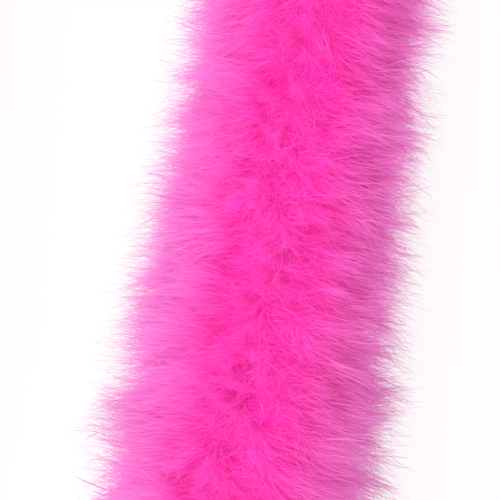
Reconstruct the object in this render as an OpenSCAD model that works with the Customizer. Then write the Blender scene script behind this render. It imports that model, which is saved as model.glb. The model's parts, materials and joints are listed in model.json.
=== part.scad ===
// A marabou feather boa, laid down in three flat folds.
// One twisted cotton cord runs the whole length. Short plume quills lie on the cord,
// turns of sewing thread bind them down, and the plumes stand out all round.
// The boa is limp, so it is divided into eleven stretches that turn on upright axes.
// +Z is up. The origin is on the surface that the boa lies on, under the middle of
// the middle fold, which runs along Y.

/* [Layout] */
// Length of each straight fold
fold_l = 390; // [320:10:600]
// Radius of each turned-back end, at the cord
turn_r = 100; // [90:5:140]
// How far the cord runs on past the last plumes
tail_l = 16; // [12:1:24]

/* [Plumes] */
// Reach of the plumes from the middle of the cord
plume_reach = 60; // [45:1:70]
// Depth of the plumes' valleys, as a share of their reach
valley_share = 0.7; // [0.4:0.05:0.9]
// Number of plumes in one whorl
whorl_plumes = 9; // [6:1:12]
// Distance from one whorl of plumes to the next
whorl_pitch = 15; // [12:1:25]
// Thickness of one whorl
whorl_t = 1.2; // [0.8:0.1:2]
// How far the underside is pressed flat by lying down
rest_flat = 8; // [3:1:12]

/* [Core] */
// Diameter of the core cord
cord_d = 3; // [2:0.5:4]
// Diameter of one quill
quill_d = 0.9; // [0.6:0.1:1.2]
// Length of one quill
quill_l = 9; // [6:0.5:10]
// Quills laid round the cord in one whorl
quills_round = 3; // [2:1:5]
// Diameter of the sewing thread
thread_d = 0.5; // [0.3:0.1:0.6]
// Wall of the band of strung plume roots
band_t = 1; // [0.8:0.1:1.5]

/* [Ends] */
// Diameter of the knot that closes each end
knot_d = 9; // [7:0.5:12]
// Length of the thread whipping beside each knot
whipping_l = 7; // [5:0.5:8]

/* [Bending] */
// How far each joint in a turned-back end opens, in degrees
bend_open = 45; // [15:5:45]
// How far an outer fold's free end swings away from the middle, in degrees
end_out = 45; // [15:5:45]
// How far an outer fold's free end swings towards the middle, in degrees
end_in = 10; // [0:1:10]

/* [Hidden] */
$fn = 48;
pink = [1, 0.24, 0.72];
deep_pink = [0.92, 0.1, 0.6];
pale_pink = [1, 0.6, 0.85];
hot_pink = [1, 0.15, 0.65];

core_h = plume_reach - rest_flat;      // height of the cord above the surface
part_gap = 0.2;                        // between the layers round the cord
thread_clear = 0.3;                    // between the thread and the band outside it
notch_gap = 0.5;                       // from a notch to the plane the neighbour reaches
cord_gap = 1.2;                        // from a joint to the cord's end
band_gap = 4.2;                        // from a joint to the band's end
whipping_gap = 1;                      // from the last plumes' stretch to the whipping
knot_seat = 0.4 * knot_d;              // from the cord's end to the knot's middle
big = 4 * plume_reach;                 // a size that passes right through a stretch

quill_ring = cord_d / 2 + part_gap + quill_d / 2;
thread_ring = quill_ring + quill_d / 2 + part_gap + thread_d / 2;
band_r = thread_ring + thread_d / 2 + thread_clear;
thread_pitch = 12;
thread_from_joint = 6;                 // from a joint to the nearest thread turn
quill_step = 40;                       // turn of the quills from one whorl to the next

// The cord's route, as distances along it from the middle of the boa
turn_l = PI * turn_r;
turn_start = fold_l / 2;
turn_end = turn_start + turn_l;
route_end = turn_end + fold_l;
joint_1 = turn_start;
joint_2 = turn_start + turn_l / 3;
joint_3 = turn_end - turn_l / 3;
joint_4 = turn_end;
joint_5 = turn_end + fold_l / 2;

// Direction of the cord at distance s, in degrees from +Y
function heading(s) =
    s < turn_start ? 0 : s > turn_end ? 180 : (s - turn_start) / turn_r * 180 / PI;
function route_x(s) = turn_r * (cos(heading(s)) - 1);
function route_y(s) =
    s < turn_start ? s
    : s > turn_end ? turn_start - (s - turn_end)
    : turn_start + turn_r * sin(heading(s));

// The evenly spaced stations from one distance to another, pitch apart or a little less
function stations(from, to, pitch) =
    let (count = ceil((to - from) / pitch), step = (to - from) / count)
    [for (i = [0:count - 1]) from + (i + 0.5) * step];

// Puts its children on the cord at distance s, with the cord along their own Y
module on_route(s) {
    translate([route_x(s), route_y(s), core_h])
        rotate([0, 0, heading(s)])
            children();
}

// A round profile that follows the route from one distance to another. The stretch is
// either straight all the way or within a turned-back end.
module run(from, to) {
    if (from >= turn_start && to <= turn_end)
        translate([-turn_r, turn_start, core_h])
            rotate([0, 0, heading(from)])
                rotate_extrude(angle = heading(to) - heading(from), $fn = 96)
                    translate([turn_r, 0])
                        children();
    else
        on_route(from)
            rotate([-90, 0, 0])
                linear_extrude(to - from)
                    children();
}

// The core cord over one stretch
module cord_run(from, to) {
    color(deep_pink)
        run(from, to)
            circle(d = cord_d);
}

// Short quills laid along the cord, a few to each whorl
module quill_run(from, to) {
    spots = stations(from, to, whorl_pitch);
    color(pale_pink)
        for (i = [0:len(spots) - 1], k = [0:quills_round - 1])
            on_route(spots[i])
                rotate([0, i * quill_step + k * 360 / quills_round, 0])
                    translate([quill_ring, 0, 0])
                        rotate([90, 0, 0])
                            cylinder(d = quill_d, h = quill_l, center = true);
}

// Turns of sewing thread round the cord and its quills
module thread_run(from, to) {
    color(hot_pink)
        for (s = stations(from + thread_from_joint, to - thread_from_joint, thread_pitch))
            on_route(s)
                rotate([90, 0, 0])
                    rotate_extrude()
                        translate([thread_ring, 0])
                            circle(d = thread_d, $fn = 24);
}

// One flat whorl of plumes, as a star round the band
module whorl(turned) {
    rotate([90, 0, 0])
        linear_extrude(whorl_t, center = true)
            difference() {
                polygon([for (i = [0:2 * whorl_plumes - 1])
                    let (a = -90 + turned + i * 180 / whorl_plumes)
                    plume_reach * (i % 2 == 0 ? 1 : valley_share) * [cos(a), sin(a)]]);
                circle(r = band_r + band_t / 2);
            }
}

// The room that a stretch leaves beside a joint, so that its neighbour can turn.
// side is 1 where the stretch lies after the joint and -1 where it lies before it,
// out and in are the turns away from and towards the inside of the fold.
module notch(side, out, in) {
    if (out > 0)
        rotate([0, 0, side * out / 2])
            translate([big / 2, side * (notch_gap - big / 2), 0])
                cube(big, center = true);
    if (in > 0)
        rotate([0, 0, -side * in / 2])
            translate([-big / 2, side * (notch_gap - big / 2), 0])
                cube(big, center = true);
}

// The band of strung plume roots with its whorls, pressed flat underneath
module plume_run(from, to, before, after) {
    spots = stations(from, to, whorl_pitch);
    color(pink)
        difference() {
            union() {
                run(from + band_gap, to - band_gap)
                    difference() {
                        circle(r = band_r + band_t);
                        circle(r = band_r);
                    }
                for (i = [0:len(spots) - 1])
                    on_route(spots[i])
                        whorl(i % 2 == len(spots) % 2 ? 180 / whorl_plumes : 0);
            }
            translate([-2 * turn_r, 0, -big / 2])
                cube([8 * turn_r, 3 * fold_l, big], center = true);
            if (before[0] > 0)
                on_route(from)
                    notch(1, before[0], before[1]);
            if (after[0] > 0)
                on_route(to)
                    notch(-1, after[0], after[1]);
        }
}

// The thread whipping at a free end, over the bare cord
module whipping() {
    color(hot_pink)
        run(route_end + whipping_gap, route_end + whipping_gap + whipping_l)
            difference() {
                circle(d = cord_d + 2 * thread_d + part_gap);
                circle(d = cord_d + part_gap);
            }
}

// The knot that closes a free end, with the socket that the cord runs into
module knot() {
    color(deep_pink)
        on_route(route_end + tail_l)
            difference() {
                translate([0, knot_seat, 0])
                    sphere(d = knot_d);
                rotate([90, 0, 0])
                    cylinder(d = cord_d + part_gap, h = knot_d);
            }
}

// Turns a piece of end a round to end b
module at_end(end) {
    rotate([0, 0, end == "b" ? 180 : 0])
        children();
}

still = [0, 0];
opens = [bend_open, 0];
swings = [end_out, end_in];

// The middle stretch turns out at both of its ends, so its plumes are cut at both
module core_cord_middle() { cord_run(cord_gap - joint_1, joint_1 - cord_gap); }
module quills_middle() { quill_run(-joint_1, joint_1); }
module thread_turns_middle() { thread_run(-joint_1, joint_1); }
module plumes_middle() {
    difference() {
        plume_run(-joint_1, joint_1, still, opens);
        at_end("b")
            on_route(joint_1)
                notch(-1, bend_open, 0);
    }
}

// The stretches of the turned-back end
module core_cord_bend(from, to) { cord_run(from + cord_gap, to - cord_gap); }
module plumes_bend(from, to) { plume_run(from, to, opens, opens); }

// The attached half of the outer fold
module core_cord_fold() { cord_run(joint_4 + cord_gap, joint_5 - cord_gap); }
module quills_fold() { quill_run(joint_4, joint_5); }
module thread_turns_fold() { thread_run(joint_4, joint_5); }
module plumes_fold() { plume_run(joint_4, joint_5, opens, swings); }

// The free half of the outer fold
module core_cord_end() { cord_run(joint_5 + cord_gap, route_end + tail_l); }
module quills_end() { quill_run(joint_5, route_end); }
module thread_turns_end() { thread_run(joint_5, route_end); }
module plumes_end() { plume_run(joint_5, route_end, swings, still); }

// Where each stretch of a turned-back end starts and stops
bend_joints = [[joint_1, joint_2], [joint_2, joint_3], [joint_3, joint_4]];

core_cord_middle();
quills_middle();
thread_turns_middle();
plumes_middle();
for (end = ["a", "b"]) at_end(end) {
    for (k = [1:3]) {
        from = bend_joints[k - 1][0];
        to = bend_joints[k - 1][1];
        name = str("_", end, "_bend_", k);
        core_cord_bend(from, to);
        quill_run(from, to);
        thread_run(from, to);
        plumes_bend(from, to);
    }
    core_cord_fold();
    quills_fold();
    thread_turns_fold();
    plumes_fold();
    core_cord_end();
    quills_end();
    thread_turns_end();
    plumes_end();
    whipping();
    knot();
}
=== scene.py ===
import json
import math

import bpy
import numpy as np
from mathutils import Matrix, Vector, noise


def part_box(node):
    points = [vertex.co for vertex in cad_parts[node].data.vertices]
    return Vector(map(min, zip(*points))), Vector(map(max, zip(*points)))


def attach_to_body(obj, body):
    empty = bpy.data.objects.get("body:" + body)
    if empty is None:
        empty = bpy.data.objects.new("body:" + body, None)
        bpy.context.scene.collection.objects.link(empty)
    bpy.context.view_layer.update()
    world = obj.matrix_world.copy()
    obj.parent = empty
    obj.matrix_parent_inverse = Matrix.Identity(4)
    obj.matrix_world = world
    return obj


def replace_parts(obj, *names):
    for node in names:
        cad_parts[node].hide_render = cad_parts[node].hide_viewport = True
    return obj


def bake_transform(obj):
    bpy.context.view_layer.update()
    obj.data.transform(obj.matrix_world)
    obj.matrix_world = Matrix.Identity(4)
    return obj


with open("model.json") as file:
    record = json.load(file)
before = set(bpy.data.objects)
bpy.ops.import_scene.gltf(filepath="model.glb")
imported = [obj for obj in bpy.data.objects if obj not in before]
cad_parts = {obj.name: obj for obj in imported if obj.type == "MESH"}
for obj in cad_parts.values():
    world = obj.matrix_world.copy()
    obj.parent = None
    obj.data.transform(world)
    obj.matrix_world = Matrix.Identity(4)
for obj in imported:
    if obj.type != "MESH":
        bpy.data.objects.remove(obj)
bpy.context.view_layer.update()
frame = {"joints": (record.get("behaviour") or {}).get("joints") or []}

MM = 0.001

# The cord's route, read from the frame: a middle fold along Y, a turned-back end at each
# side of it, and two outer folds. Distances along it run from its middle, to end a upwards
# and to end b downwards.
HINGE = {j["name"]: Vector(j["pos_m"]) for j in frame["joints"]}
TURN_START = HINGE["a_turn_start_bend"].y
TURN_R = -HINGE["a_turn_end_bend"].x / 2
CORE_H = HINGE["a_turn_start_bend"].z
TURN_L = math.pi * TURN_R
TURN_END = TURN_START + TURN_L
ROUTE_END = TURN_END + 2 * TURN_START
KNOT_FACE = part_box("knot_a")[1][1]      # the knot's near side, at end a past -TURN_START
CORD_END = ROUTE_END + (-TURN_START - KNOT_FACE) + 1 * MM    # 1 mm inside the knot

# Each half's stretches, the hinge before each one and where that lies on the route
STRETCHES = ["bend_1", "bend_2", "bend_3", "fold", "end"]
HINGES = ["turn_start_bend", "turn_near_bend", "turn_far_bend", "turn_end_bend",
          "fold_middle_bend"]
HINGES_AT = [TURN_START, TURN_START + TURN_L / 3, TURN_END - TURN_L / 3, TURN_END,
             TURN_END + TURN_START]

VIEW_HALF = 122 * MM            # the closely modelled part of the middle fold, each way
VIEW_PIECES = 8
OUTER_FADE = 20 * MM            # the painted shade on the outermost tips runs this far past it

# The plumage. The dense down ends softly at DENSE_R, and single barbs reach on from there.
DENSE_R = 35.6 * MM
ROLL_R = 34 * MM                # the packed down under the free barbs
FULLNESS_WAVE = 430 * MM        # the boa is fuller and thinner by turns over this length
LEAST_HEIGHT = 0.8 * MM         # barbs that lie on the table keep this far above it
FLATTEN = 6 * MM                # and start to lie down this far above that
FAN_FROM = ROUTE_END - 22 * MM  # from here on the plumes fan out over a free end
CAP_LENGTH = 15 * MM            # the last plumes, which get an extra layer of barbs
ROLL_PAST = 6 * MM              # the packed down reaches this far past the last plume

# How many stems, barbs, finer barbs and barbules, and how wide the last three are: for one
# piece of the closely modelled part, for each FAR_UNIT elsewhere, and for an end's extra layer
VIEW_COUNTS = (320, 13500, 11500, 13000)
VIEW_WIDTHS = (0.27 * MM, 0.15 * MM, 0.09 * MM)
FAR_UNIT = 40 * MM
FAR_COUNTS = (260, 3000, 1500, 1300)
FAR_WIDTHS = (0.66 * MM, 0.40 * MM, 0.26 * MM)
CAP_COUNTS = (500, 7000, 3600, 3000)
CAP_WIDTHS = (0.5 * MM, 0.32 * MM, 0.2 * MM)
BOLD_EVERY = 110                # one barb in so many has a bold, longer neighbour
BOLD_WIDTH = 1.3                # which is this much wider than a barb

PLY_R = 0.78 * MM
LAY_PITCH = 9 * MM              # one turn of the cord's two plies
THREAD_PITCH = 6 * MM
THREAD_R = 0.22 * MM
STEM_PITCH = 1.6 * MM           # from one plume's stem to the next along the cord


# ---------------------------------------------------------------- camera, light, floor

def make_camera():
    """Straight above the middle fold, turned so that the boa leans as it does in the view."""
    frame_width = 200 * MM          # what the frame takes in at the boa's own height
    lean = math.radians(9.0)
    boa_right_of_centre = 8.6 * MM
    data = bpy.data.cameras.new("camera")
    data.lens = 100.0
    data.sensor_width = 36.0
    data.clip_start, data.clip_end = 0.01, 300.0
    distance = frame_width * data.lens / data.sensor_width
    cam = bpy.data.objects.new("camera", data)
    cam.location = (-boa_right_of_centre, 0.0, CORE_H + distance)
    cam.rotation_euler = (0.0, 0.0, lean)
    bpy.context.scene.collection.objects.link(cam)
    bpy.context.scene.camera = cam


def make_light():
    """A bright, even white room with a large soft key from the upper left."""
    scene = bpy.context.scene
    world = bpy.data.worlds.new("studio")
    scene.world = world
    world.use_nodes = True
    back = world.node_tree.nodes["Background"]
    back.inputs["Color"].default_value = (1.0, 1.0, 1.0, 1.0)
    back.inputs["Strength"].default_value = 1.0
    key = bpy.data.lights.new("key", "SUN")
    key.energy = 3.8
    key.angle = math.radians(80)
    key_ob = bpy.data.objects.new("key", key)
    key_ob.rotation_euler = Vector((1.3, -0.35, -1.0)).to_track_quat("-Z", "Y").to_euler()
    scene.collection.objects.link(key_ob)
    scene.view_settings.view_transform = "Standard"


def make_floor():
    half = 60.0
    mesh = bpy.data.meshes.new("floor")
    mesh.from_pydata([(-half, -half, 0), (half, -half, 0), (half, half, 0), (-half, half, 0)],
                     [], [(0, 1, 2, 3)])
    floor = bpy.data.objects.new("floor", mesh)
    bpy.context.scene.collection.objects.link(floor)
    nodes = Nodes("white_table")
    grain = nodes.noise(3.0)
    nodes.principled({"Base Color": nodes.ramp(grain, [(0, (0.12, 0.12, 0.12)),
                                                       (1, (0.13, 0.13, 0.13))]),
                      "Roughness": 0.9, "Specular IOR Level": 0.1,
                      "Emission Color": (1, 1, 1, 1), "Emission Strength": 0.87})
    floor.data.materials.append(nodes.material)


# ---------------------------------------------------------------- materials

class Nodes:
    """A small helper that builds one material's node tree."""

    def __init__(self, name):
        self.material = bpy.data.materials.new(name)
        self.material.use_nodes = True
        self.tree = self.material.node_tree
        self.tree.nodes.clear()
        self.out = self.tree.nodes.new("ShaderNodeOutputMaterial")

    def add(self, kind, values=None, **settings):
        node = self.tree.nodes.new("ShaderNode" + kind)
        for key, value in settings.items():
            setattr(node, key, value)
        for key, value in (values or {}).items():
            self.put(node.inputs[key], value)
        return node

    def put(self, socket, value):
        if isinstance(value, bpy.types.NodeSocket):
            self.tree.links.new(value, socket)
        else:
            socket.default_value = value

    def ramp(self, factor, stops):
        node = self.add("ValToRGB", {"Fac": factor})
        elements = node.color_ramp.elements
        while len(elements) < len(stops):
            elements.new(0.5)
        for element, (place, colour) in zip(elements, stops):
            element.position = place
            element.color = (*colour, 1.0)
        return node.outputs["Color"]

    def mix(self, factor, first, second, blend="MIX"):
        node = self.add("Mix", data_type="RGBA", blend_type=blend)
        # Of a Mix node's sockets, 6 and 7 are its colours A and B, and output 2 their result
        self.put(node.inputs[0], factor)
        self.put(node.inputs[6], first)
        self.put(node.inputs[7], second)
        return node.outputs[2]

    def noise(self, scale, detail=3.0, stretch=(1, 1, 1)):
        where = self.add("TexCoord").outputs["Object"]
        place = self.add("Mapping", {"Vector": where, "Scale": stretch})
        return self.add("TexNoise", {"Vector": place.outputs[0], "Scale": scale,
                                     "Detail": detail}).outputs["Fac"]

    def principled(self, values):
        node = self.add("BsdfPrincipled", values)
        self.tree.links.new(node.outputs[0], self.out.inputs["Surface"])
        return node


def down_material(name):
    """Dyed down: deeper at the root, and each barb a little different. Over this lies painted
    light: the flanks are painted paler, for light shining through the outer barbs, the outermost
    tips are painted greyer, for shade, and a faint glow paints light into the shade in the down."""
    root, middle, tip = (0.94, 0.064, 0.62), (0.95, 0.150, 0.74), (0.96, 0.21, 0.79)
    # Painted light: barbs out at the sides are painted paler, standing for light from the bright
    # room that shines through them.
    flank_light_colour = (0.88, 0.385, 0.79, 1.0)
    # Painted shade: the outermost tips near the closely modelled part are painted greyer, as
    # shade on hairs seen against the bright table.
    fringe_shade_colour = (0.72, 0.30, 0.60, 1.0)
    n = Nodes(name)
    along, flank, outer = (n.add("Attribute", attribute_name=a).outputs["Fac"]
                           for a in ("along", "flank", "outer"))
    colour = n.ramp(along, [(0.0, root), (0.5, middle), (1.0, tip)])
    colour = n.mix(flank, colour, flank_light_colour)
    island = n.add("NewGeometry").outputs["Random Per Island"]
    shade = n.ramp(island, [(0.0, (1.0, 0.80, 0.90)), (0.5, (1, 1, 1)), (1.0, (1, 1, 1))])
    colour = n.mix(1.0, colour, shade, "MULTIPLY")
    patches = n.ramp(n.noise(45.0), [(0.35, (1.0, 0.88, 0.95)), (0.65, (1, 1, 1))])
    colour = n.mix(1.0, colour, patches, "MULTIPLY")
    colour = n.mix(outer, colour, fringe_shade_colour)
    rough = n.add("MapRange", {"Value": island, "To Min": 0.5, "To Max": 0.75})
    # The faint pink glow is painted light, lifting the shade between the barbs as light scattered
    # in the dense down would.
    skin = n.add("BsdfPrincipled", {"Base Color": colour, "Roughness": rough.outputs[0],
                                    "Specular IOR Level": 0.2,
                                    "Emission Color": (1.0, 0.02, 0.45, 1.0),
                                    "Emission Strength": 0.04})
    through = n.add("BsdfTranslucent", {"Color": colour})
    both = n.add("MixShader", {0: 0.6, 1: skin.outputs[0], 2: through.outputs[0]})
    n.tree.links.new(both.outputs[0], n.out.inputs["Surface"])
    return n.material


def fibre_material(name, dark, light, scale, rough, bump=0.0, painted_glow=0.0):
    """Dyed fibre or quill with a fine mottle, an optional fine bump and an optional glow, which
    is painted light standing for light scattered in dense down.
    """
    n = Nodes(name)
    grain = n.noise(scale)
    values = {"Base Color": n.ramp(grain, [(0.3, dark), (0.7, light)]),
              "Roughness": n.add("MapRange", {"Value": grain, "To Min": rough - 0.08,
                                              "To Max": rough + 0.08}).outputs[0],
              "Specular IOR Level": 0.3}
    if painted_glow:
        values.update({"Emission Color": (1.0, 0.012, 0.48, 1.0), "Emission Strength": painted_glow})
    if bump:
        values["Normal"] = n.add("Bump", {"Height": grain, "Strength": bump,
                                          "Distance": 0.3 * MM}).outputs[0]
    n.principled(values)
    return n.material


# ---------------------------------------------------------------- the route in space

def route(s):
    """x, y and heading of the cord at distances s along it."""
    distance = np.abs(s)
    turn = np.clip((distance - TURN_START) / TURN_R, 0.0, math.pi)
    x = TURN_R * (np.cos(turn) - 1.0)
    y = np.where(distance < TURN_START, distance, TURN_START + TURN_R * np.sin(turn))
    y = y - np.maximum(distance - TURN_END, 0.0)
    side = np.where(s < 0, -1.0, 1.0)
    return side * x, side * y, turn


def in_space(local):
    """Points in metres for local ones: distance along the cord, to its right, above it."""
    s, right, up = local[..., 0], local[..., 1], local[..., 2]
    x, y, heading = route(s)
    return np.stack([x + right * np.cos(heading), y + right * np.sin(heading), CORE_H + up], -1)


def unit(vectors):
    """The same directions with length one."""
    return vectors / np.maximum(np.linalg.norm(vectors, axis=-1, keepdims=True), 1e-12)


def smooth(low, high, value):
    """A soft step from 0 at low to 1 at high."""
    t = np.clip((value - low) / (high - low), 0, 1)
    return t * t * (3 - 2 * t)


class Drift:
    """A smooth random vector field, as a sum of waves of about one length."""

    def __init__(self, seed, wave, count=9):
        rng = np.random.default_rng(seed)
        self.way = unit(rng.normal(size=(count, 3))) * 2 * math.pi / wave
        self.way *= rng.uniform(0.6, 1.5, (count, 1))
        self.phase = rng.uniform(0, 2 * math.pi, count)
        self.push = unit(rng.normal(size=(count, 3))) * math.sqrt(2 / count)

    def __call__(self, points):
        return np.sin(points @ self.way.T + self.phase) @ self.push


LOCKS = Drift(11, 34 * MM)
CURLS = Drift(12, 11 * MM)

# The meandering line along the top where the plumes part, as distance and shift in mm
PARTING = [(-95, -3.0), (-80, -4.4), (-60, -4.0), (-34, 5.0), (-10, 1.0), (15, 0.0),
           (40, -4.0), (69, 3.0), (84, -3.6)]


def parting(s):
    """How far to the right of the cord the parting runs at distances s along it."""
    at, shift = np.array(PARTING).T * MM
    return np.interp(s, at, shift, period=200 * MM)


def settle(local, room):
    """Keeps barbs within their room past the dense down, and lays low ones on the table."""
    radial = np.hypot(local[..., 1], local[..., 2])
    fullness = (1 - 0.09 * np.sin(2 * math.pi * local[..., 0] / FULLNESS_WAVE)
                + 0.05 * np.maximum(local[..., 1], 0) / np.maximum(radial, 1e-9))
    soft = DENSE_R * fullness
    room = room[:, None] * fullness
    full = radial * fullness
    limited = np.where(full > soft, soft + room * np.tanh((full - soft) / room), full)
    scale = limited / np.maximum(radial, 1e-9)
    out = local.copy()
    out[..., 1] *= scale
    out[..., 2] *= scale
    floor = LEAST_HEIGHT - CORE_H
    under = floor + FLATTEN - out[..., 2]
    pressed = floor + FLATTEN * np.exp(-np.maximum(under, 0) / FLATTEN)
    out[..., 2] = np.where(under > 0, pressed, out[..., 2])
    return out


# ---------------------------------------------------------------- plumes

def grow_stems(rng, start, stop, count, top_share):
    """Stems of plumes round the cord between two distances along it, with a share on top."""
    s = rng.uniform(start, stop, count)
    on_top = rng.uniform(size=count) < top_share
    upper = rng.uniform(-0.15, math.pi + 0.15, count)
    angle = np.where(on_top, upper, rng.uniform(0, 2 * math.pi, count))
    radial = np.stack([np.zeros(count), np.cos(angle), np.sin(angle)], -1)
    around = np.stack([np.zeros(count), -np.sin(angle), np.cos(angle)], -1)
    lean = rng.normal(0.0, 0.3, count)
    lean += (np.sign(s) * np.tan(rng.uniform(0.2, 1.45, count))
             * smooth(FAN_FROM, ROUTE_END - 3 * MM, np.abs(s)))
    swirl = rng.normal(0.0, 0.25, count)
    direction = unit(radial + lean[:, None] * np.array([1.0, 0, 0]) + swirl[:, None] * around)
    base = np.stack([s, np.zeros(count), np.zeros(count)], -1) + radial * 2.4 * MM
    return {"base": base, "direction": direction, "length": rng.uniform(33, 45, count) * MM,
            "curve": unit(rng.normal(size=(count, 3))) * rng.uniform(0.05, 0.3, count)[:, None]}


def stem_at(stems, index, t):
    """Point and direction at share t along the stems named by index."""
    d, c = stems["direction"][index], stems["curve"][index]
    length, t = stems["length"][index][:, None], t[:, None]
    return stems["base"][index] + length * (d * t + c * t * t), unit(d + 2 * c * t)


def grow_barbs(rng, stems, count, steps, length, first=0.5):
    """Curved barbs from the outer parts of the stems, combed out and over the flanks.

    length is their least and most in mm, and first is the share of a stem that stays bare.
    Returns (count, steps + 1, 3) local points."""
    index = rng.integers(0, len(stems["length"]), count)
    t = rng.uniform(first, 1.0, count)
    point, direction = stem_at(stems, index, t)
    point = point + rng.normal(0, 1.5 * MM, (count, 3))

    # Upper barbs are combed away from the parting, and those beside it are short and curly
    above = smooth(-15 * MM, 25 * MM, point[:, 2])
    beside = point[:, 1] - parting(point[:, 0])
    side = np.tanh((beside + rng.normal(0, 4.5 * MM, count)) / (7 * MM)) * above
    near_top = np.exp(-(beside / (13 * MM)) ** 2) * smooth(18 * MM, 32 * MM, point[:, 2])
    away = unit(rng.normal(size=(count, 3)))
    slope = np.where(side > 0, -0.20, -0.12) + rng.normal(0, 0.10, count)
    own = unit(rng.normal(size=(count, 3))) * rng.uniform(0.1, 0.45, count)[:, None]
    reach = rng.uniform(*length, count) * MM * (1 - 0.35 * near_top)
    step = (reach / steps)[:, None]
    fan = smooth(FAN_FROM, ROUTE_END + 6 * MM, np.abs(point[:, 0]))

    # Each step turns from the stem's own direction to outward, down the flank and with the locks
    points = [point]
    for k in range(steps):
        u = (k + 0.5) / steps
        here = points[-1]
        radial = here.copy()
        radial[:, 0] = 0.0
        radial = unit(radial)
        radial[:, 0] = np.sign(here[:, 0]) * 1.3 * fan
        comb = np.stack([slope * (0.5 + u), side * (0.7 + 0.5 * u),
                         above * (0.1 - 0.75 * u) * (1 - near_top)], -1)
        past_dense = smooth(36 * MM, 48 * MM, np.hypot(here[:, 1], here[:, 2]))
        locks = (0.16 + 0.22 * past_dense)[:, None] * LOCKS(here)
        curls = (0.10 + 0.95 * near_top)[:, None] * CURLS(here)
        way = ((1 - u) * 0.6 * (direction + 0.8 * away) + (0.8 - 0.35 * u) * radial + comb
               + locks + curls + own * (0.4 + u))
        points.append(here + unit(way) * step)
    return np.stack(points, 1)


def grow_barbules(rng, barbs, room, count, steps, length):
    """Short fine hairs that leave the barbs at a slant, and the room that each one has."""
    index = rng.integers(0, len(barbs), count)
    segments = barbs.shape[1] - 1
    t = rng.uniform(0.1, 0.98, count) * segments
    k = np.minimum(t.astype(int), segments - 1)
    first, second = barbs[index, k], barbs[index, k + 1]
    point = first + (second - first) * (t - k)[:, None]
    tangent = unit(second - first)
    away = unit(np.cross(tangent, rng.normal(size=(count, 3))))
    heading = unit(tangent + rng.uniform(0.4, 1.2, count)[:, None] * away)
    reach = (rng.uniform(*length, count) * MM)[:, None]
    bend = 0.6 * tangent + 0.5 * rng.normal(size=(count, 3))
    points = [point]
    for k in range(steps):
        u = (k + 0.5) / steps
        points.append(points[-1] + unit(heading + bend * u) * reach / steps)
    return np.stack(points, 1), room[index]


def strand_faces(count, steps):
    """Loops and loop starts of ribbons with a pair of corners a step and one tip corner."""
    corners = 2 * steps + 1
    loops = []
    for k in range(steps - 1):
        loops += [2 * k, 2 * k + 1, 2 * k + 3, 2 * k + 2]
    loops += [2 * steps - 2, 2 * steps - 1, 2 * steps]
    starts = [4 * k for k in range(steps)]
    offset = (np.arange(count) * corners)[:, None]
    all_loops = (offset + np.array(loops)[None]).ravel()
    all_starts = ((np.arange(count) * len(loops))[:, None] + np.array(starts)[None]).ravel()
    return all_loops, all_starts


def ribbons(rng, local, room, width):
    """Flat tapering ribbons along strands: points, loops, loop starts and shades."""
    count, steps = local.shape[0], local.shape[1] - 1
    settled = settle(local, room)
    path = in_space(settled)
    tangent = unit(np.gradient(path, axis=1))
    core = local.copy()
    core[..., 1:] = 0.0
    outward = unit(path - in_space(core))
    across = unit(np.cross(tangent, outward + 0.3 * rng.normal(size=(count, 1, 3))))
    t = np.linspace(0, 1, steps + 1)[None, :, None]
    half = 0.5 * width * rng.uniform(0.7, 1.3, (count, 1, 1)) * (1 - 0.75 * t)
    left, right = path - across * half, path + across * half
    pairs = np.stack([left[:, :-1], right[:, :-1]], 2).reshape(count, 2 * steps, 3)
    points = np.concatenate([pairs, path[:, -1:]], 1).reshape(-1, 3)
    along = np.tile(np.concatenate([np.repeat(np.arange(steps) / steps, 2), [1.0]]), count)
    sideways = np.abs(settled[..., 1])
    # flank marks barbs out at the sides, which the down material paints paler as painted light.
    flank = smooth(12 * MM, 44 * MM, sideways)
    # outer marks the outermost tips near the closely modelled part, which the down material
    # paints greyer as painted shade.
    near_view = np.abs(settled[..., 0]) < VIEW_HALF + OUTER_FADE
    outer = smooth(45 * MM, 57 * MM, sideways) * near_view
    each = [np.concatenate([np.repeat(a[:, :-1], 2, axis=1), a[:, -1:]], 1).ravel()
            for a in (flank, outer)]
    return (points, *strand_faces(count, steps), np.stack([along, *each], -1))


def joined(parts):
    """Several sets of points, loops, loop starts and any shades as one."""
    sets = []
    corner, loop = 0, 0
    for points, loops, starts, *shades in parts:
        sets.append((points, loops + corner, starts + loop, *shades))
        corner += len(points)
        loop += len(loops)
    return [np.concatenate(values) for values in zip(*sets)]


def mesh_object(name, material, points, loops, starts, shades=None, smooth_faces=False):
    """A mesh with the given faces, and along, flank and outer shades at its points."""
    mesh = bpy.data.meshes.new(name)
    mesh.vertices.add(len(points))
    mesh.vertices.foreach_set("co", np.asarray(points, np.float32).ravel())
    mesh.loops.add(len(loops))
    mesh.loops.foreach_set("vertex_index", np.asarray(loops, np.int32))
    mesh.polygons.add(len(starts))
    mesh.polygons.foreach_set("loop_start", np.asarray(starts, np.int32))
    if shades is not None:
        for shade, values in zip(("along", "flank", "outer"), shades.T):
            attribute = mesh.attributes.new(shade, "FLOAT", "POINT")
            attribute.data.foreach_set("value", np.ascontiguousarray(values, np.float32))
    mesh.update(calc_edges=True)
    if smooth_faces:
        mesh.polygons.foreach_set("use_smooth", np.ones(len(starts), bool))
    mesh.materials.append(material)
    obj = bpy.data.objects.new(name, mesh)
    bpy.context.scene.collection.objects.link(obj)
    return obj


def room_of(rng, count):
    """How far past the dense plumage each barb may reach: most little, a few far."""
    near = rng.uniform(0.4, 2.5, count)
    far = np.minimum(2.0 + rng.exponential(16.0, count), 31.0)
    return np.where(rng.uniform(size=count) < 0.62, near, far) * MM


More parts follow.
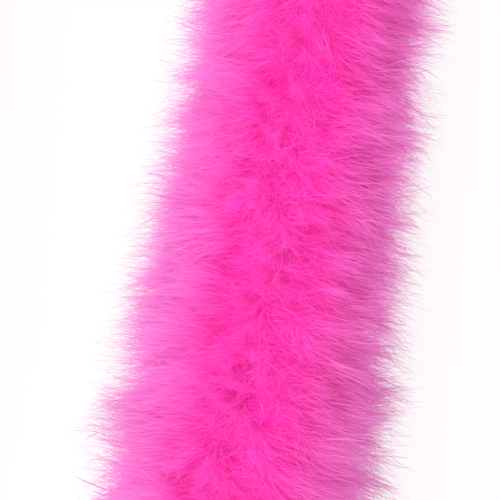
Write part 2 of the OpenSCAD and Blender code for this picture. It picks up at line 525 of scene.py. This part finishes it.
def down_piece(name, seed, start, stop, counts, widths, top_share, steps=4):
    """One length of the plumage: barbs, a few bold ones, finer longer ones, and barbules."""
    rng = np.random.default_rng(seed)
    stems, barbs, fine, barbules = counts
    bolds = barbs // BOLD_EVERY
    roots = grow_stems(rng, start, stop, stems, top_share)
    lines = grow_barbs(rng, roots, barbs, steps, (14, 27))
    room = room_of(rng, barbs)
    thin = grow_barbs(rng, roots, fine, 3, (18, 42), first=0.65)
    hairs, hair_room = grow_barbules(rng, lines, room, barbules, 2, (2.5, 6.0))
    bold = grow_barbs(rng, roots, bolds, 5, (20, 34), first=0.8)
    parts = [ribbons(rng, lines, room, widths[0])]
    parts.append(ribbons(rng, bold, room_of(rng, bolds) + 4 * MM, BOLD_WIDTH * widths[0]))
    parts.append(ribbons(rng, thin, room_of(rng, fine), widths[1]))
    parts.append(ribbons(rng, hairs, hair_room, widths[2]))
    return mesh_object(name, DOWN, *joined(parts))


# ---------------------------------------------------------------- tubes

def tube(centre, radius, sides):
    """A closed tube along centre points (n, 3): its points, loops and loop starts."""
    centre = np.asarray(centre, float)
    n = len(centre)
    radius = np.broadcast_to(np.asarray(radius, float), (n,))
    tangent = unit(np.gradient(centre, axis=0))
    reference = np.array([0.0, 0.0, 1.0])
    if (np.abs(tangent[:, 2]) > 0.9).any():      # a steep tube is turned about a slant line
        reference = unit(np.array([0.9, 0.31, 0.29]))
    first = unit(np.cross(tangent, reference))
    second = np.cross(tangent, first)
    angle = np.linspace(0, 2 * math.pi, sides, endpoint=False)
    ring = (np.cos(angle)[None, :, None] * first[:, None] + np.sin(angle)[None, :, None]
            * second[:, None])
    points = (centre[:, None] + ring * radius[:, None, None]).reshape(-1, 3)
    loops, starts = [], []
    for i in range(n - 1):
        for k in range(sides):
            a, b = i * sides + k, i * sides + (k + 1) % sides
            starts.append(len(loops))
            loops += [a, b, b + sides, a + sides]
    for cap in (range(sides - 1, -1, -1), range((n - 1) * sides, n * sides)):
        starts.append(len(loops))
        loops += cap
    return points, np.array(loops), np.array(starts)


def helix(start, stop, radius, pitch, phase=0.0, per_turn=10):
    """Points in space of a coil round the cord from one distance along it to another."""
    count = max(8, int(math.ceil(abs(stop - start) / pitch * per_turn)))
    s = np.linspace(start, stop, count + 1)
    angle = 2 * math.pi * s / pitch + phase
    return in_space(np.stack([s, radius * np.cos(angle), radius * np.sin(angle)], -1))


def cord_piece(name, start, stop):
    """The core cord over one stretch: two plies twisted round each other."""
    parts = [tube(helix(start, stop, PLY_R, LAY_PITCH, phase), PLY_R, 8)
             for phase in (0.0, math.pi)]
    return mesh_object(name, CORD, *joined(parts), smooth_faces=True)


def stem_piece(name, seed, start, stop):
    """Plume stems: each lies bound along the cord at its root, then stands out and tapers."""
    rng = np.random.default_rng(seed)
    count = max(1, int((stop - start) / STEM_PITCH))
    stems = grow_stems(rng, start, stop, count, 0.5)
    parts = []
    shares = np.linspace(0, 0.96, 7)
    rooms = np.full(1, 9 * MM)
    radius = np.concatenate([[0.32, 0.36], np.linspace(0.36, 0.06, len(shares))]) * MM
    for i in range(count):
        path = stem_at(stems, np.full(len(shares), i), shares)[0]
        root = path[0].copy()
        back = math.copysign(1.0, rng.normal()) * np.array([1.0, 0, 0])
        path = np.concatenate([[root + back * 7 * MM, root + back * 3 * MM], path])
        path = in_space(settle(path[None], rooms)[0])
        parts.append(tube(path, radius, 4))
    return mesh_object(name, QUILL, *joined(parts), smooth_faces=True)


def thread_piece(name, start, stop):
    """The sewing thread, wound round the cord and the quills lying on it."""
    coil = helix(start, stop, 2.95 * MM, THREAD_PITCH, per_turn=12)
    return mesh_object(name, THREAD, *tube(coil, THREAD_R, 5), smooth_faces=True)


def whipping_piece(end):
    """Close turns of thread over the bare cord beside a knot."""
    sign = 1 if end == "a" else -1
    coil = helix(sign * (ROUTE_END + 1 * MM), sign * (ROUTE_END + 8 * MM), 1.85 * MM, 0.5 * MM)
    return mesh_object(f"end_whipping_{end}", THREAD, *tube(coil, 0.25 * MM, 5),
                       smooth_faces=True)


def knot_piece(end):
    """A tight knot in the cord, with a short tail that the plies end in as a small tuft."""
    sign = 1 if end == "a" else -1
    middle = sign * (CORD_END + 3.6 * MM)
    t = np.linspace(0, 2 * math.pi, 73)
    size = 1.05 * MM
    loop = size * np.stack([-0.9 * np.sin(3 * t), np.sin(t) + 2 * np.sin(2 * t),
                            np.cos(t) - 2 * np.cos(2 * t)], -1)
    loop[:, 0] += middle
    turn = np.linspace(0, 2 * math.pi * 9, len(t))
    parts = []
    for phase in (0.0, math.pi):
        around = loop + 0.62 * MM * np.stack([np.cos(turn + phase), np.sin(turn + phase),
                                              0 * turn], -1)
        parts.append(tube(in_space(around), 0.8 * MM, 7))
    rng = np.random.default_rng(77)
    for _ in range(26):
        reach = rng.uniform(4, 8) * MM
        spread = rng.normal(0, 0.22, 2)
        along = np.linspace(0, 1, 5)
        wave = 0.25 * MM * np.sin(along * rng.uniform(3, 8) + rng.uniform(0, 6))
        hair = np.stack([middle + sign * (2.5 * MM + reach * along),
                         reach * along ** 1.3 * spread[0] + wave,
                         reach * along ** 1.3 * spread[1] + wave], -1)
        parts.append(tube(in_space(hair), np.linspace(0.22, 0.10, 5) * MM, 4))
    return mesh_object(f"tied_knot_{end}", CORD, *joined(parts), smooth_faces=True)


# ---------------------------------------------------------------- inner down

def inner_down(name, start, stop, round_start, round_stop):
    """The packed down close round the cord, as a lumpy closed roll under the free barbs.

    It is flat where the next length goes on and rounded over at a free end."""
    rings = max(8, int(round((stop - start) / (3 * MM))))
    around = 56
    s = np.linspace(start, stop, rings + 1)
    angle = np.linspace(0, 2 * math.pi, around, endpoint=False)
    grid_s, grid_a = np.meshgrid(s, angle, indexing="ij")
    radius = np.empty_like(grid_s)
    for i in range(rings + 1):
        for k in range(around):
            at = Vector((s[i] / (14 * MM), 2.2 * math.cos(angle[k]), 2.2 * math.sin(angle[k])))
            lumps = 3.0 * noise.noise(at) + 1.5 * noise.noise(at * 3.1)
            radius[i, k] = ROLL_R + lumps * MM
    from_parting = radius * np.cos(grid_a) - parting(grid_s)
    radius -= 2 * MM * np.exp(-(from_parting / (7 * MM)) ** 2) * (np.sin(grid_a) > 0)
    from_end = np.full(rings + 1, ROLL_R)
    if round_start:
        from_end = np.minimum(from_end, s - start)
    if round_stop:
        from_end = np.minimum(from_end, stop - s)
    radius *= np.sqrt(1 - (1 - np.maximum(from_end, 0.2 * MM) / ROLL_R) ** 2)[:, None]
    local = np.stack([grid_s, radius * np.cos(grid_a), radius * np.sin(grid_a)], -1)
    centres = np.array([[[start, 0, 0], [stop, 0, 0]]], float)
    rooms = np.full(1, 30 * MM)
    points = np.concatenate([in_space(settle(local.reshape(1, -1, 3), rooms))[0],
                             in_space(centres)[0]])
    loops, starts = [], []
    for i in range(rings):
        for k in range(around):
            a, b = i * around + k, i * around + (k + 1) % around
            starts.append(len(loops))
            loops += [a, a + around, b + around, b]
    first, last = (rings + 1) * around, (rings + 1) * around + 1
    for k in range(around):
        starts.append(len(loops))
        loops += [k, (k + 1) % around, first]
        starts.append(len(loops))
        loops += [rings * around + (k + 1) % around, rings * around + k, last]
    return mesh_object(name, INNER, points, np.array(loops), np.array(starts),
                       smooth_faces=True)


# ---------------------------------------------------------------- the build

make_camera()
make_light()
make_floor()

DOWN = down_material("dyed_down")
# The packed down's colour is darker than the barbs' dye and it glows: the dark colour paints the
# shade of the deep pockets between the barbs, and the glow is painted light standing for light
# scattered through the dense down.
INNER = fibre_material("inner_down", (0.38, 0.004, 0.15), (0.48, 0.008, 0.20), 260.0, 0.8, 0.4,
                       painted_glow=0.42)
CORD = fibre_material("cotton_cord", (0.75, 0.02, 0.28), (0.95, 0.08, 0.45), 900.0, 0.85, 0.5)
QUILL = fibre_material("dyed_quill", (0.85, 0.07, 0.45), (0.95, 0.16, 0.60), 500.0, 0.45)
THREAD = fibre_material("sewing_thread", (0.85, 0.03, 0.40), (1.0, 0.12, 0.55), 1500.0, 0.6)


def spans():
    """The boa's lengths between cuts: name, start, stop, the body that it rides or the two
    that it bends between, and its hinge's distance along the cord, or None."""
    rows = []
    step = 2 * VIEW_HALF / VIEW_PIECES
    for i in range(VIEW_PIECES):
        rows.append((f"middle_{i + 1}", -VIEW_HALF + i * step, -VIEW_HALF + (i + 1) * step,
                     ["middle"], None))
    for end, sign in (("a", 1), ("b", -1)):
        bodies = ["middle"] + [f"{end}_{s}" for s in STRETCHES]
        cuts = [VIEW_HALF] + [(HINGES_AT[i] + HINGES_AT[i + 1]) / 2 for i in range(4)]
        cuts += [HINGES_AT[4] + 90 * MM, ROUTE_END]
        for i in range(6):
            low, high = sorted((sign * cuts[i], sign * cuts[i + 1]))
            if i < 5:
                rows.append((f"{end}_{HINGES[i]}", low, high, [bodies[i], bodies[i + 1]],
                             sign * HINGES_AT[i]))
            else:
                rows.append((f"{end}_tip", low, high, [bodies[5]], None))
    return rows


def attach(piece, bodies, at, kind):
    """Rides a piece on its body, or bakes a piece that lies across a hinge in place, and hides
    the model's parts that it replaces.
    """
    if at is None:
        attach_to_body(piece, bodies[0])
    else:
        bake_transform(piece)
    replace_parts(piece, *[f"{kind}_{body}" for body in bodies])
    return piece


def build_down(number, name, start, stop, bodies, at):
    """The plumage of one span: one dense piece in view, one or two coarser ones elsewhere."""
    length = stop - start
    units = length / FAR_UNIT
    pieces = []
    if name.startswith("middle"):
        pieces.append(down_piece(f"down_{name}", 100 + number, start, stop, VIEW_COUNTS,
                                 VIEW_WIDTHS, 0.55))
    else:
        halves = 2 if units > 2.4 else 1
        counts = [int(n * units / halves) for n in FAR_COUNTS]
        for part in range(halves):
            low = start + length * part / halves
            high = start + length * (part + 1) / halves
            suffix = f"_{part + 1}" if halves > 1 else ""
            pieces.append(down_piece(f"down_{name}{suffix}", 200 + 10 * number + part, low, high,
                                     counts, FAR_WIDTHS, 0.25, steps=3))
    if name.endswith("tip"):
        low, high = sorted(math.copysign(s, stop) for s in (ROUTE_END - CAP_LENGTH, ROUTE_END))
        pieces.append(down_piece(f"down_{name}_cap", 400 + number, low, high, CAP_COUNTS,
                                 CAP_WIDTHS, 0.25))
    for piece in pieces:
        attach(piece, bodies, at, "plumes")


def build_core(number, name, start, stop, bodies, at, tip=0):
    """The roll, cord, stems and thread of one span. tip is 1 at end a, -1 at end b, else 0."""
    roll = inner_down(f"inner_down_{name}", start - ROLL_PAST * (tip < 0),
                      stop + ROLL_PAST * (tip > 0), tip < 0, tip > 0)
    attach(roll, bodies, at, "plumes")
    attach(stem_piece(f"plume_stems_{name}", 500 + number, start, stop), bodies, at, "quills")
    attach(thread_piece(f"thread_{name}", start, stop), bodies, at, "thread_turns")
    first = -CORD_END if tip < 0 else start
    last = CORD_END if tip > 0 else stop
    cord = attach(cord_piece(f"twisted_cord_{name}", first, last), bodies, at, "core_cord")
    count = int(abs(last - first) / (4 * MM)) + 1
    distances = np.linspace(first, last, count + 1)
    if tip < 0:
        distances = distances[::-1]
    on_it = []
    if tip:
        end = "a" if tip > 0 else "b"
        on_it = [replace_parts(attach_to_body(whipping_piece(end), bodies[0]), f"whipping_{end}"),
                 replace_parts(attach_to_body(knot_piece(end), bodies[0]), f"knot_{end}")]


rows = spans()
for number, row in enumerate(rows):
    build_down(number, *row)
middle = [row for row in rows if row[0].startswith("middle")]
build_core(0, "middle", middle[0][1], middle[-1][2], ["middle"], None)
for number, row in enumerate(rows):
    if not row[0].startswith("middle"):
        tip = 0 if not row[0].endswith("tip") else (1 if row[1] > 0 else -1)
        build_core(number, *row, tip=tip)
